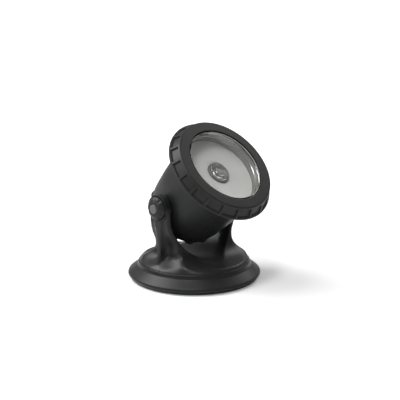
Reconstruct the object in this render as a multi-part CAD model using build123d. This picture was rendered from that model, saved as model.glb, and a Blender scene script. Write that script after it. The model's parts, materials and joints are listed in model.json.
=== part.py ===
from build123d import *
import math
import os

# Underwater pond light: a weighted round base, a flared yoke and a lamp head that
# tilts between the yoke's two ears. Millimetres, +Z up, origin under the middle of
# the base. The tilt axis runs along X and the lamp looks towards -Y and upwards.

# Driving dimensions
pivotHeight = 49.7
restTilt = 44.3
fitGap = 0.05
bodyGap = 0.3

# Base
rimRadius = 42.5
rimHeight = 3.5
skirtRadius = 40.8
skirtBottom = 0.4
slopeTopRadius = 37.4
slopeTopHeight = 7.8
ledgeRadius = 35.6
baseTop = 11.2
coverRadius = 38.2
coverBottom = 0.8
coverThickness = 1.8
coverTop = coverBottom + coverThickness
shellRoof = 8.6
footRadius = 4.5
footRecess = 0.3
fixingCircle = 31.0
postRadius = 3.0
coverScrewRadius = 1.25
ballastRadius = 27.0
ballastBore = 8.0
ballastTop = 7.8

# Yoke
yokeFootRadius = 33.7
yokeFootTop = 13.1
yokeFootEdge = 35.3
earRadius = 8.3
armHalf = 8.0
earInner = 27.3
earOuter = 31.2
earRimHeight = 0.5
earRimWidth = 0.7
archFloor = 14.4
ribTopHalf = 3.6
ribFootHalf = 1.5
yokeScrewX = 21.5
yokeScrewY = 5.0
yokeScrewRadius = 1.5
yokeScrewHead = 2.8

# Pivot
studRadius = 3.0
threadRadius = 2.45
insertRadius = 4.0
insertInner = 20.4
insertOuter = 25.7
bossRadius = 6.4
bossFace = 26.4
washerThickness = 0.6
knobRadius = 7.3
knobFace = 31.5
knobTop = 34.6
knobFlutes = 10
capRadius = 2.9
capTop = 35.3

# Lamp head, measured along its own axis from the tilt axis
ringFront = 39.0
ringRear = 31.6
ringFrontRadius = 32.6
ringRearRadius = 35.8
ringBore = 31.0
ringWall = 1.9
windowRadius = 25.1
pocketCount = 20
pocketDepth = 1.2
ribWidth = 1.3
lugCount = 4
lugSpan = 22.0
lensRadius = 28.7
lensStepRadius = 24.8
lensStepTop = 38.6
lensThickness = 2.4
lensRear = 34.5
gasketThickness = 0.6
gasketBore = 27.2
neckRadius = 29.6
neckRear = 30.4
mouthRadius = 27.6
flangeRadius = 30.7
flangeFront = 35.6
flangeThickness = 1.6
lampBore = 25.9
sinkBore = 24.0
reflectorSeat = 26.0
sinkSeat = 21.6
plateFront = 27.8
plateThickness = 1.0
plateRadius = 24.5
sinkTop = 24.0
boardThickness = 1.4
boardRadius = 11.5
boardScrewCircle = 9.6
boardTop = sinkTop + boardThickness
opticRadius = 6.0
opticTop = 30.6
opticDome = 12.0
holderRadius = 7.2
shellRear = -13.0
shellRearRadius = 23.5

# Rear cap and cord gland
capFront = shellRear - bodyGap
capRear = -15.9
capLobes = 12
capLobeStart = 9.0
capLobeRadius = 4.2
capReach = 23.9
capWaist = 22.4
spigotRadius = 19.6
spigotBore = 17.2
rearBore = 20.0
rearFlangeRear = -8.4
rearFlangeFront = -7.0
rearFlangeRadius = 18.8
rearLugSpan = 26.0
rearLugCount = 3
glandRadius = 5.6
glandRear = -22.4
nutRadius = 7.6
nutRear = -26.0
cordBore = 3.2
driverSeat = -3.0
driverThickness = 1.6
driverRadius = 16.0
driverTop = driverSeat + driverThickness
wireX = 3.0
wireY = 12.2
wireRadius = 0.7


def tube(outer, inner, low, high):
    """A round tube along Z from low to high."""
    body = Pos(0, 0, low) * Cylinder(outer, high - low, align=(Align.CENTER, Align.CENTER, Align.MIN))
    if inner > 0:
        body -= Pos(0, 0, low - 1) * Cylinder(
            inner, high - low + 2, align=(Align.CENTER, Align.CENTER, Align.MIN)
        )
    return body


def turned(points):
    """A solid of revolution about Z from radius and height pairs."""
    face = make_face(Polyline(*[(r, 0, z) for r, z in points], close=True))
    return revolve(face, Axis.Z, 360)


def wedge(outer, inner, low, high, middle, span):
    """Part of a tube that spans an angle in degrees about a middle direction."""
    reach = 2 * outer
    steps = [middle - span / 2, middle, middle + span / 2]
    rim = [(reach * math.cos(math.radians(d)), reach * math.sin(math.radians(d))) for d in steps]
    face = make_face(Polyline((0, 0), *rim, close=True))
    slab = Pos(0, 0, low) * extrude(face, high - low)
    return tube(outer, inner, low, high) & slab


def around(count, radius, start=0.0):
    """Evenly spaced places on a circle about Z."""
    turns = [start + 360 * i / count for i in range(count)]
    return [(radius * math.cos(math.radians(t)), radius * math.sin(math.radians(t))) for t in turns]


def inHead(shape):
    """Turns a piece modelled along the lamp's axis into its resting place."""
    return Pos(0, 0, pivotHeight) * Rot(90 - restTilt, 0, 0) * shape


def onPivot(shape, side):
    """Lays a piece modelled along Z onto the tilt axis, pointing to one side."""
    return Pos(0, 0, pivotHeight) * Rot(0, 90 * side, 0) * shape


# Base pieces


def baseShell():
    outline = Polyline(
        (0, 0, baseTop),
        (ledgeRadius - 0.8, 0, baseTop),
        (ledgeRadius, 0, baseTop - 0.8),
        (ledgeRadius + 0.8, 0, slopeTopHeight + 0.9),
        (slopeTopRadius, 0, slopeTopHeight),
        (rimRadius - 0.7, 0, rimHeight + 0.9),
    )
    rim = ThreePointArc(
        (rimRadius - 0.7, 0, rimHeight + 0.9), (rimRadius, 0, rimHeight), (rimRadius - 0.4, 0, rimHeight - 1.0)
    )
    under = Polyline(
        (rimRadius - 0.4, 0, rimHeight - 1.0),
        (skirtRadius, 0, skirtBottom),
        (coverRadius + 0.3, 0, skirtBottom),
        (coverRadius + 0.3, 0, coverTop),
        (coverRadius - 1.2, 0, coverTop),
        (coverRadius - 2.2, 0, 5.6),
        (33.4, 0, 7.4),
        (33.0, 0, shellRoof),
        (0, 0, shellRoof),
        (0, 0, baseTop),
    )
    shell = revolve(make_face([outline, rim, under]), Axis.Z, 360)
    for x, y in around(4, fixingCircle, 45):
        shell += Pos(x, y, 0) * tube(postRadius, 0, coverTop, shellRoof + 0.5)
    for x, y in around(4, fixingCircle, 45):
        shell -= Pos(x, y, 0) * tube(coverScrewRadius, 0, coverTop - 1, shellRoof)
    for x in (-yokeScrewX, yokeScrewX):
        for y in (-yokeScrewY, yokeScrewY):
            shell -= Pos(x, y, 0) * tube(yokeScrewRadius + 0.2, 0, shellRoof - 1, baseTop + 1)
    return shell


def ballastRing():
    ring = tube(ballastRadius, ballastBore, coverTop, ballastTop)
    for x in (-yokeScrewX, yokeScrewX):
        for y in (-yokeScrewY, yokeScrewY):
            ring -= Pos(x, y, 0) * tube(yokeScrewHead + 0.5, 0, coverTop - 1, ballastTop + 1)
    return ring


def footPlaces():
    """Four feet on the fixing circle and one under the middle of the ballast."""
    return around(4, fixingCircle) + [(0, 0)]


def bottomCover():
    plate = tube(coverRadius, 0, coverBottom, coverTop)
    for x, y in around(4, fixingCircle, 45):
        sink = turned([
            (0, coverBottom - 0.1), (2.5, coverBottom - 0.1), (2.5, coverBottom + 0.1),
            (coverScrewRadius + 0.15, coverBottom + 1.3), (coverScrewRadius + 0.15, coverTop + 1), (0, coverTop + 1),
        ])
        plate -= Pos(x, y, 0) * sink
    for x, y in footPlaces():
        plate -= Pos(x, y, 0) * tube(footRadius, 0, coverBottom - 1, coverBottom + footRecess)
    return plate


def coverScrews():
    screw = turned([
        (0, coverBottom), (2.4, coverBottom), (2.4, coverBottom + 0.1),
        (coverScrewRadius, coverBottom + 1.25), (coverScrewRadius, coverTop + 4.6),
        (0.4, coverTop + 5.4), (0, coverTop + 5.4),
    ])
    screw -= Pos(0, 0, coverBottom) * (Box(3.0, 0.6, 1.2) + Box(0.6, 3.0, 1.2))
    return [Pos(x, y, 0) * screw for x, y in around(4, fixingCircle, 45)]


def rubberFeet():
    pad = tube(footRadius, 0, 0, coverBottom + footRecess)
    pad = chamfer(pad.edges().group_by(Axis.Z)[0], 0.3)
    return [Pos(x, y, 0) * pad for x, y in footPlaces()]


def yokeScrews():
    length = 6.5
    screw = turned([
        (0, shellRoof - 2.0), (1.6, shellRoof - 2.0), (yokeScrewHead, shellRoof - 0.9),
        (yokeScrewHead, shellRoof), (yokeScrewRadius, shellRoof), (yokeScrewRadius, baseTop + length - 1),
        (0.5, baseTop + length), (0, baseTop + length),
    ])
    screw -= Pos(0, 0, shellRoof - 2.0) * (Box(2.6, 0.6, 1.6) + Box(0.6, 2.6, 1.6))
    return [Pos(x, y, 0) * screw for x in (-yokeScrewX, yokeScrewX) for y in (-yokeScrewY, yokeScrewY)]


def yokeFront():
    """The yoke seen along Y: two arms that lean inwards and flare into the foot."""
    top = pivotHeight + earRadius + 1
    armOuter = earOuter - 0.8
    outer = Spline(
        (armOuter, 0, 42.0), (29.6, 0, 36.5), (27.2, 0, 30.5), (24.9, 0, 25.0), (24.2, 0, 20.5),
        (26.6, 0, 16.6), (yokeFootRadius, 0, yokeFootTop), tangents=[(0, 0, -1), (1, 0, -0.2)],
    )
    inner = Spline(
        (0, 0, archFloor), (10.5, 0, 17.2), (19.4, 0, 24.4), (25.4, 0, 34.5), (earInner, 0, 44.0),
        tangents=[(1, 0, 0), (0, 0, 1)],
    )
    foot = Polyline(
        (yokeFootRadius, 0, yokeFootTop), (yokeFootRadius, 0, baseTop), (0, 0, baseTop), (0, 0, archFloor)
    )
    upper = Polyline((earInner, 0, 44.0), (earInner, 0, top), (armOuter, 0, top), (armOuter, 0, 42.0))
    half = extrude(make_face([outer, foot, inner, upper]), yokeFootRadius, dir=(0, 1, 0), both=True)
    return half + mirror(half, Plane.YZ)


def yokeSide():
    """The yoke seen along X: slim under the ears and spreading into the foot."""
    top = pivotHeight + earRadius + 1
    flare = Spline(
        (0, armHalf, 41.0), (0, 8.2, 36.0), (0, 9.4, 29.5), (0, 11.8, 23.0), (0, 15.8, 17.6),
        (0, 22.0, 14.6), (0, yokeFootRadius, yokeFootTop), tangents=[(0, 0, -1), (0, 1, -0.08)],
    )
    rest = Polyline(
        (0, yokeFootRadius, yokeFootTop), (0, yokeFootRadius, baseTop), (0, 0, baseTop), (0, 0, top),
        (0, armHalf, top), (0, armHalf, 41.0),
    )
    half = extrude(make_face([flare, rest]), yokeFootRadius, dir=(1, 0, 0), both=True)
    return half + mirror(half, Plane.XZ)


def yokeRib(side):
    """The upright rib that stiffens the outside of one arm."""
    edge = Spline(
        (earOuter, 0, 42.0), (31.0, 0, 36.0), (30.6, 0, 28.0), (30.8, 0, 21.0), (32.6, 0, 14.6),
        tangents=[(0, 0, -1), (1, 0, -1.2)],
    )
    back = Polyline(
        (32.6, 0, 14.6), (32.6, 0, baseTop), (22.0, 0, baseTop), (26.0, 0, 28.0), (earInner + 1, 0, 42.0),
        (earOuter, 0, 42.0),
    )
    plate = extrude(make_face([edge, back]), earRadius / 2, dir=(0, 1, 0), both=True)
    wide = ribTopHalf
    slim = ribFootHalf
    taperLine = Polyline(
        (0, wide, 43.0), (0, slim, 29.0), (0, slim, baseTop), (0, -slim, baseTop), (0, -slim, 29.0),
        (0, -wide, 43.0), close=True,
    )
    taper = extrude(make_face(taperLine), yokeFootRadius, dir=(1, 0, 0), both=True)
    rib = plate & taper
    return rib if side > 0 else mirror(rib, Plane.YZ)


def yoke():
    body = yokeFront() & yokeSide() & tube(yokeFootRadius, 0, baseTop, pivotHeight)
    column = Pos(0, 0, pivotHeight) * Box(2 * earOuter, 2 * earRadius, 2 * earRadius)
    body -= column
    body += turned([
        (0, baseTop), (yokeFootEdge, baseTop), (yokeFootEdge, baseTop + 0.3), (yokeFootRadius, yokeFootTop - 0.3),
        (0, yokeFootTop - 0.3),
    ])
    for side in (-1, 1):
        body += yokeRib(side)
        neck = Box(earOuter - 0.8 - earInner, 2 * armHalf, 7)
        body += Pos(side * (earInner + earOuter - 0.8) / 2, 0, pivotHeight - 6) * neck
        body += onPivot(tube(earRadius, 0, earInner, earOuter), side)
        rim = tube(earRadius, earRadius - earRimWidth, earOuter, earOuter + earRimHeight)
        body += onPivot(rim, side)
        body -= onPivot(tube(studRadius + fitGap, 0, earInner - 1, earOuter + 1), side)
    for x in (-yokeScrewX, yokeScrewX):
        for y in (-yokeScrewY, yokeScrewY):
            body -= Pos(x, y, 0) * tube(yokeScrewRadius, 0, baseTop - 1, baseTop + 6.8)
    return body


# Pivot pieces, modelled along Z outwards from the middle of the lamp


def pivotInsert():
    return tube(insertRadius, threadRadius + fitGap, insertInner, insertOuter)


def pivotWasher():
    return tube(bossRadius - 0.4, studRadius + 0.3, bossFace, bossFace + washerThickness)


def pivotStud():
    return turned([
        (0, insertInner + 0.4), (threadRadius - 0.5, insertInner + 0.4), (threadRadius, insertInner + 0.9),
        (threadRadius, bossFace - 0.4), (studRadius, bossFace + 0.1), (studRadius, knobTop - 0.9),
        (0, knobTop - 0.9),
    ])


def knob():
    body = turned([
        (0, knobFace), (knobRadius - 0.2, knobFace), (knobRadius, knobFace + 0.2), (knobRadius, knobFace + 1.0),
        (knobRadius - 0.9, knobFace + 2.0), (knobRadius - 2.0, knobTop - 0.2), (knobRadius - 2.6, knobTop),
        (capRadius + 0.1, knobTop), (capRadius + 0.1, knobTop - 0.6), (0, knobTop - 0.6),
    ])
    for x, y in around(knobFlutes, knobRadius + 0.9):
        body -= Pos(x, y, 0) * tube(1.5, 0, knobFace + 0.9, knobTop + 1)
    return body - tube(studRadius, 0, knobFace - 1, knobTop - 0.9)


def knobCap():
    return turned([
        (0, knobTop - 0.6), (capRadius, knobTop - 0.6), (capRadius, capTop - 0.35),
        (capRadius - 0.35, capTop - 0.05), (capRadius - 0.8, capTop), (0, capTop),
    ])


# Lamp head pieces, modelled along the lamp's axis


def casingOutline():
    """Half of the casing's outer line, from the mouth to the rear."""
    return Spline(
        (mouthRadius, 0, neckRear - 2.0), (27.2, 0, 22.0), (26.7, 0, 10.0), (25.8, 0, 1.0), (24.9, 0, -6.0),
        (shellRearRadius, 0, shellRear + 0.8), tangents=[(-0.02, 0, -1), (-0.4, 0, -1)],
    )


def headCasing():
    mouth = Polyline(
        (lampBore, 0, reflectorSeat), (lampBore, 0, lensRear - gasketThickness),
        (lensRadius + 0.3, 0, lensRear - gasketThickness), (lensRadius + 0.3, 0, flangeFront),
        (flangeRadius, 0, flangeFront), (flangeRadius, 0, flangeFront - flangeThickness),
        (neckRadius, 0, flangeFront - flangeThickness), (neckRadius, 0, neckRear), (mouthRadius, 0, neckRear - 2.0),
    )
    inside = Polyline(
        (shellRearRadius, 0, shellRear + 0.8), (shellRearRadius - 0.8, 0, shellRear), (rearBore, 0, shellRear),
        (rearBore, 0, rearFlangeRear), (rearFlangeRadius, 0, rearFlangeRear),
        (rearFlangeRadius, 0, rearFlangeFront), (rearBore + 0.2, 0, rearFlangeFront), (rearBore + 0.2, 0, -4.6),
        (22.0, 0, -3.0), (sinkBore - 1.0, 0, 6.0),
        (sinkBore - 1.0, 0, sinkSeat), (sinkBore, 0, sinkSeat), (sinkBore, 0, reflectorSeat),
        (lampBore, 0, reflectorSeat),
    )
    shell = revolve(make_face([mouth, casingOutline(), inside]), Axis.Z, 360)
    middles = [360 * (i + 0.5) / lugCount for i in range(lugCount)]
    for middle in middles:
        shell -= wedge(ringBore + 1, neckRadius, flangeFront - flangeThickness - 1, flangeFront + 1, middle,
                       lugSpan + 4)
    for i in range(rearLugCount):
        shell -= wedge(rearBore - 0.05, rearFlangeRadius - 1, rearFlangeRear - 0.5, rearFlangeFront + 1.5,
                       360 * (i + 0.5) / rearLugCount, rearLugSpan + 6)
    for side in (-1, 1):
        boss = Rot(0, 90 * side, 0) * tube(bossRadius, 0, insertInner, bossFace)
        shell += boss
        shell -= Rot(0, 90 * side, 0) * tube(insertRadius, 0, insertInner - 1, insertOuter)
        shell -= Rot(0, 90 * side, 0) * tube(studRadius + bodyGap, 0, insertOuter - 1, bossFace + 1)
    return shell


def lockingRing():
    body = turned([
        (windowRadius, ringFront), (ringFrontRadius - 1.2, ringFront), (ringFrontRadius - 0.35, ringFront - 0.35),
        (ringFrontRadius, ringFront - 1.2), (ringRearRadius - 0.5, ringRear + 1.1),
        (ringRearRadius, ringRear + 0.8), (ringRearRadius, ringRear + 0.2), (ringRearRadius - 0.2, ringRear),
        (ringBore, ringRear), (ringBore, ringFront - ringWall), (windowRadius + 1.3, ringFront - ringWall),
        (windowRadius, ringFront - 0.5),
    ])
    slope = (ringRearRadius - 0.5 - ringFrontRadius) / (ringFront - ringRear - 2.3)
    pitch = 360 / pocketCount
    sweep = pitch - math.degrees(ribWidth / ringRearRadius)
    low = ringRear + 1.1
    high = ringFront - 1.4
    inner = turned([
        (0, low - 1), (ringRearRadius - 0.5 - pocketDepth, low - 1),
        (ringRearRadius - 0.5 - pocketDepth - slope * (high - low + 1), high + 1), (0, high + 1),
    ])
    for i in range(pocketCount):
        cutter = wedge(ringRearRadius + 1, ringBore, low, high, pitch * (i + 0.5), sweep)
        body -= cutter - inner
    for i in range(lugCount):
        body += wedge(ringBore + 0.2, neckRadius + bodyGap, ringRear, flangeFront - flangeThickness - bodyGap,
                      360 * i / lugCount, lugSpan)
    return body


def frontLens():
    low = lensRear
    high = lensRear + lensThickness
    return turned([
        (0, low), (lensRadius, low), (lensRadius, high - 0.3), (lensRadius - 0.3, high), (lensStepRadius, high),
        (lensStepRadius, lensStepTop - 0.3), (lensStepRadius - 0.3, lensStepTop), (0, lensStepTop),
    ])


def lensGasket():
    return tube(lensRadius, gasketBore, lensRear - gasketThickness, lensRear)


def reflector():
    top = lensRear - gasketThickness
    return turned([
        (lampBore, reflectorSeat), (lampBore, top), (gasketBore - 0.2, top), (gasketBore - 0.2, lensRear - 0.1),
        (25.6, lensRear - 0.1), (25.2, lensRear - 0.6), (25.0, 31.4), (24.8, 31.0),
        (24.6, plateFront - plateThickness), (22.0, plateFront - plateThickness),
        (22.0, reflectorSeat),
    ])


def facePlate():
    return tube(plateRadius, holderRadius + 0.2, plateFront - plateThickness, plateFront)


def ledOptic():
    """Clear collimator: a cone over the chip with a shallow dome in front."""
    body = turned([
        (0, 28.0), (2.2, 28.0), (2.6, 27.1), (3.4, 27.1), (opticRadius, 28.4), (opticRadius, 31.0), (0, 31.0),
    ])
    return body & Pos(0, 0, opticTop - opticDome) * Sphere(opticDome)


def opticHolder():
    return turned([
        (3.6, boardTop), (holderRadius, boardTop), (holderRadius, 28.6), (holderRadius - 0.3, 28.9),
        (opticRadius, 28.9), (opticRadius, 28.4), (3.6, 27.02),
    ])


def ledEmitter():
    body = Pos(0, 0, boardTop + 0.4) * Box(4.2, 4.2, 0.8)
    dome = Pos(0, 0, boardTop + 0.8) * Sphere(1.5)
    return body + (dome & tube(2, 0, boardTop + 0.8, boardTop + 3))


def ledBoard():
    board = tube(boardRadius, 0, sinkTop, boardTop)
    for x, y in around(2, boardScrewCircle):
        board -= Pos(x, y, 0) * tube(1.1, 0, sinkTop - 1, boardTop + 1)
    for x, y in around(4, boardRadius + 0.4, 45):
        board -= Pos(x, y, 0) * tube(1.6, 0, sinkTop - 1, boardTop + 1)
    return board


def boardScrews():
    screw = turned([
        (0, sinkTop - 3.5), (0.9, sinkTop - 3.5), (0.9, boardTop), (1.9, boardTop), (1.9, boardTop + 0.7),
        (1.3, boardTop + 1.1), (0, boardTop + 1.1),
    ])
    screw -= Pos(0, 0, boardTop + 1.1) * (Box(2.2, 0.45, 0.9) + Box(0.45, 2.2, 0.9))
    return [Pos(x, y, 0) * screw for x, y in around(2, boardScrewCircle)]


def heatSink():
    finLow = 9.0
    finPitch = 4.2
    finThickness = 1.5
    disc = tube(sinkBore - 0.2, 0, sinkSeat, sinkTop)
    core = tube(15.0, 0, finLow, sinkSeat)
    fins = disc
    blade = Box(40, finThickness, sinkSeat - finLow)
    for i in range(-3, 4):
        fins += (Pos(0, i * finPitch, (finLow + sinkSeat) / 2) * blade) & core
    for x, y in around(2, boardScrewCircle):
        fins -= Pos(x, y, 0) * tube(0.9, 0, sinkTop - 3.5, sinkTop + 1)
    for x in (-wireX, wireX):
        fins -= Pos(x, wireY, 0) * tube(wireRadius + 0.4, 0, finLow - 1, sinkTop + 1)
    return fins


def ledLeads():
    return [Pos(x, wireY, 0) * tube(wireRadius, 0, driverTop, sinkTop) for x in (-wireX, wireX)]


def driverBoard():
    return tube(driverRadius, 0, driverSeat, driverTop)


def driverCapacitor():
    can = Pos(-6.5, -3.0, 0) * tube(3.1, 0, driverTop, driverTop + 7.5)
    return chamfer(can.edges().group_by(Axis.Z)[-1], 0.5)


def driverInductor():
    drum = turned([(0, 0), (3.6, 0), (3.6, 1.0), (2.4, 1.0), (2.4, 4.0), (3.6, 4.0), (3.6, 5.0), (0, 5.0)])
    return Pos(6.0, -4.5, driverTop) * drum


def driverChip():
    return Pos(4.5, 6.0, driverTop + 0.8) * Box(5.0, 4.0, 1.6)


def rearSeal():
    """Seal that sits in the groove of the rear cap's spigot."""
    low = capFront + 2.0
    return turned([
        (spigotRadius - 1.1, low - 0.6), (rearBore - 0.35, low - 0.6), (rearBore - fitGap, low - 0.25),
        (rearBore - fitGap, low + 0.25), (rearBore - 0.35, low + 0.6), (spigotRadius - 1.1, low + 0.6),
    ])


def rearCap():
    disc = tube(capWaist, 0, capRear + 0.6, capFront)
    lobes = tube(capLobeRadius, 0, capRear, capFront)
    lobes = chamfer(lobes.edges().group_by(Axis.Z)[0], 0.8)
    for x, y in around(capLobes, capReach - capLobeRadius, capLobeStart):
        disc += Pos(x, y, 0) * lobes
    disc += tube(17.0, 0, capRear, capFront)
    spigotFront = rearFlangeFront + bodyGap + 1.6
    disc += tube(spigotRadius, 0, capFront, rearFlangeRear - bodyGap)
    disc += tube(rearFlangeRadius - bodyGap, 0, rearFlangeRear - bodyGap, spigotFront)
    for i in range(rearLugCount):
        disc += wedge(rearBore - bodyGap, spigotBore, rearFlangeFront + bodyGap, spigotFront,
                      360 * i / rearLugCount, rearLugSpan)
    disc -= tube(spigotBore, 0, capFront + 0.4, spigotFront + 1)
    disc -= tube(rearBore, spigotRadius - 1.1, capFront + 1.4, capFront + 2.6)
    disc += tube(glandRadius, 0, glandRear, capRear)
    disc -= tube(cordBore + 0.3, 0, glandRear - 1, capFront + 1)
    disc -= tube(glandRadius - 1.2, 0, glandRear - 1, glandRear + 2.6)
    return disc


def glandSeal():
    return turned([
        (cordBore, glandRear - 1.2), (glandRadius - 1.6, glandRear - 1.2), (glandRadius - 1.2, glandRear - 0.4),
        (glandRadius - 1.2, glandRear + 2.6), (cordBore, glandRear + 2.6),
    ])


def glandNut():
    nut = Pos(0, 0, nutRear) * extrude(RegularPolygon(nutRadius, 6), 5.6)
    nut = nut & turned([
        (0, nutRear), (nutRadius - 1.6, nutRear), (nutRadius, nutRear + 1.2), (nutRadius, nutRear + 5.6),
        (0, nutRear + 5.6),
    ])
    nut -= tube(glandRadius + fitGap, 0, glandRear - 0.8, nutRear + 7)
    nut -= tube(glandRadius - 1.0, 0, glandRear - 1.6, nutRear + 7)
    return nut - tube(cordBore + 0.4, 0, nutRear - 1, nutRear + 7)


def group(solids):
    """Solids that share one node."""
    parts = [solid if isinstance(solid, Part) else Part(solid.wrapped) for solid in solids]
    return Compound(children=parts)


os.makedirs("parts", exist_ok=True)

pieces = {
    "base_shell": baseShell(),
    "ballast_ring": ballastRing(),
    "bottom_cover": bottomCover(),
    "cover_screws": group(coverScrews()),
    "rubber_feet": group(rubberFeet()),
    "yoke": yoke(),
    "yoke_screws": group(yokeScrews()),
    "pivot_inserts": group([onPivot(pivotInsert(), side) for side in (-1, 1)]),
    "pivot_washers": group([onPivot(pivotWasher(), side) for side in (-1, 1)]),
    "left_stud": onPivot(pivotStud(), -1),
    "right_stud": onPivot(pivotStud(), 1),
    "left_knob": onPivot(knob(), -1),
    "right_knob": onPivot(knob(), 1),
    "left_knob_cap": onPivot(knobCap(), -1),
    "right_knob_cap": onPivot(knobCap(), 1),
    "head_casing": inHead(headCasing()),
    "locking_ring": inHead(lockingRing()),
    "front_lens": inHead(frontLens()),
    "lens_gasket": inHead(lensGasket()),
    "reflector": inHead(reflector()),
    "face_plate": inHead(facePlate()),
    "led_optic": inHead(ledOptic()),
    "optic_holder": inHead(opticHolder()),
    "led_emitter": inHead(ledEmitter()),
    "led_board": inHead(ledBoard()),
    "board_screws": group([inHead(screw) for screw in boardScrews()]),
    "heat_sink": inHead(heatSink()),
    "led_leads": group([inHead(lead) for lead in ledLeads()]),
    "driver_board": inHead(driverBoard()),
    "driver_capacitor": inHead(driverCapacitor()),
    "driver_inductor": inHead(driverInductor()),
    "driver_chip": inHead(driverChip()),
    "rear_seal": inHead(rearSeal()),
    "rear_cap": inHead(rearCap()),
    "gland_seal": inHead(glandSeal()),
    "gland_nut": inHead(glandNut()),
}

for name, shape in pieces.items():
    export_step(shape, f"parts/{name}.step")
    print(name, round(shape.volume, 1))
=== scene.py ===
import json
import math

import bmesh
import bpy
import numpy as np
from mathutils import Matrix, Vector


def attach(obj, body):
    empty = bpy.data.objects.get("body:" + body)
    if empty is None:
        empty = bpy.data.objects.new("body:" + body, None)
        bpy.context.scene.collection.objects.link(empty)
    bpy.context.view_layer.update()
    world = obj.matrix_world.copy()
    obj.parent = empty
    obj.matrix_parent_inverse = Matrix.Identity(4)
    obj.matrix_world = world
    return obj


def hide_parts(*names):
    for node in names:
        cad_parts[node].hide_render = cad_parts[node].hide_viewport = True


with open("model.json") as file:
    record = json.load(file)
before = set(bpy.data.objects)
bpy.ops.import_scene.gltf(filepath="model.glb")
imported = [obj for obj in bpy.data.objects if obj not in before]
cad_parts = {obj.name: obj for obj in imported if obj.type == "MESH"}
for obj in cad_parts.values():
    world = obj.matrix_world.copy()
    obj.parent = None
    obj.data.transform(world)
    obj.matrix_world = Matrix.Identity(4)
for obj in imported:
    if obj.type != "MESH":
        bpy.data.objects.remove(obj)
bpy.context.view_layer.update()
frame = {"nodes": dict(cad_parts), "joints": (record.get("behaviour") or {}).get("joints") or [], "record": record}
print("frame loaded")

joints = {joint["name"]: joint for joint in frame["joints"]}
pivot = Vector(joints["head_tilt"]["pos_m"])
lampAxis = Vector(joints["ring_turn"]["axis"]).normalized()
mm = 0.001


# places: every piece is drawn in millimetres about its own axis


def placeAlong(direction, origin, side):
    # stands local Z along a direction, with local X given
    z = Vector(direction).normalized()
    x = Vector(side)
    y = z.cross(x)
    turn = Matrix((x, y, z)).transposed().to_4x4()
    return Matrix.Translation(origin) @ turn @ Matrix.Scale(mm, 4)


upright = Matrix.Scale(mm, 4)
inHead = placeAlong(lampAxis, pivot, (1, 0, 0))
onPivot = {side: placeAlong((side, 0, 0), pivot, (0, 0, -side)) for side in (-1, 1)}


# drawing helpers


def softened(points, closed=True, steps=4, support=0.12):
    # rounds each corner of a line of (radius, height, fillet), then adds a point beside
    # each bend so that the flats stay flat
    count = len(points)
    line = []
    for i, (r, z, fillet) in enumerate(points):
        here = Vector((r, z))
        if fillet <= 0 or (not closed and i in (0, count - 1)):
            line.append(here)
            continue
        before = Vector(points[i - 1][:2]) - here
        after = Vector(points[(i + 1) % count][:2]) - here
        reach = fillet / math.tan(before.angle(after) / 2)
        reach = min(reach, before.length * 0.48, after.length * 0.48)
        start = here + before.normalized() * reach
        stop = here + after.normalized() * reach
        for k in range(steps + 1):
            t = k / steps
            line.append((1 - t) ** 2 * start + 2 * t * (1 - t) * here + t * t * stop)
    held = []
    for i, here in enumerate(line):
        held.append(here)
        if i == len(line) - 1 and not closed:
            break
        there = line[(i + 1) % len(line)]
        gap = (there - here).length
        if gap > 6 * support:
            held.append(here.lerp(there, support / gap))
            held.append(here.lerp(there, 1 - support / gap))
    return [(p.x, p.y) for p in held]


def plainMesh(name, verts, faces, place, sharp=40.0):
    # a merged, outward-facing mesh set in its resting place
    mesh = bpy.data.meshes.new(name)
    mesh.from_pydata([tuple(v) for v in verts], [], faces)
    mesh.transform(place)
    bm = bmesh.new()
    bm.from_mesh(mesh)
    bmesh.ops.remove_doubles(bm, verts=bm.verts, dist=1e-7)
    bmesh.ops.recalc_face_normals(bm, faces=bm.faces)
    bm.to_mesh(mesh)
    bm.free()
    mesh.shade_smooth()
    mesh.set_sharp_from_angle(angle=math.radians(sharp))
    return mesh


def turnedMesh(name, line, place, turns=144, shape=None, closed=True, sharp=40.0):
    # revolves a line of (radius, height); turns is a count or the angles themselves, and
    # shape may move a row's points by their angles
    if isinstance(turns, int):
        turns = np.linspace(0, 2 * math.pi, turns, endpoint=False)
    angles = np.asarray(turns)
    around = len(angles)
    verts, rows = [], []
    for r, z in line:
        rows.append((len(verts), r > 1e-6))
        if r <= 1e-6:
            verts.append((0, 0, z))
            continue
        radii, heights = np.full(around, r), np.full(around, z)
        if shape:
            radii, heights = shape(radii, heights, angles)
        verts.extend(zip(radii * np.cos(angles), radii * np.sin(angles), heights))
    pairs = list(zip(rows, rows[1:]))
    if closed:
        pairs.append((rows[-1], rows[0]))
    faces = []
    for (a, ringA), (b, ringB) in pairs:
        for k in range(around):
            m = (k + 1) % around
            if ringA and ringB:
                faces.append((a + k, b + k, b + m, a + m))
            elif ringB:
                faces.append((a, b + k, b + m))
            elif ringA:
                faces.append((a + k, b, a + m))
    return plainMesh(name, verts, faces, place, sharp)


def joinedMesh(name, meshes):
    # several meshes as one
    joined = bpy.data.meshes.new(name)
    bm = bmesh.new()
    for mesh in meshes:
        bm.from_mesh(mesh)
    bm.to_mesh(joined)
    bm.free()
    joined.set_sharp_from_angle(angle=math.radians(40))
    for mesh in meshes:
        bpy.data.meshes.remove(mesh)
    return joined


def looseObject(name, mesh):
    thing = bpy.data.objects.new(name, mesh)
    bpy.context.scene.collection.objects.link(thing)
    return thing


def evaluatedMesh(thing, name):
    # the object's mesh with its modifiers worked in; the object itself is dropped
    bpy.context.view_layer.update()
    made = bpy.data.meshes.new_from_object(thing.evaluated_get(bpy.context.evaluated_depsgraph_get()))
    made.name = name
    bpy.data.objects.remove(thing)
    return made


def smoothStep(low, high, value):
    t = np.clip((value - low) / (high - low), 0, 1)
    return t * t * (3 - 2 * t)


# shared surface effects, as node groups


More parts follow.
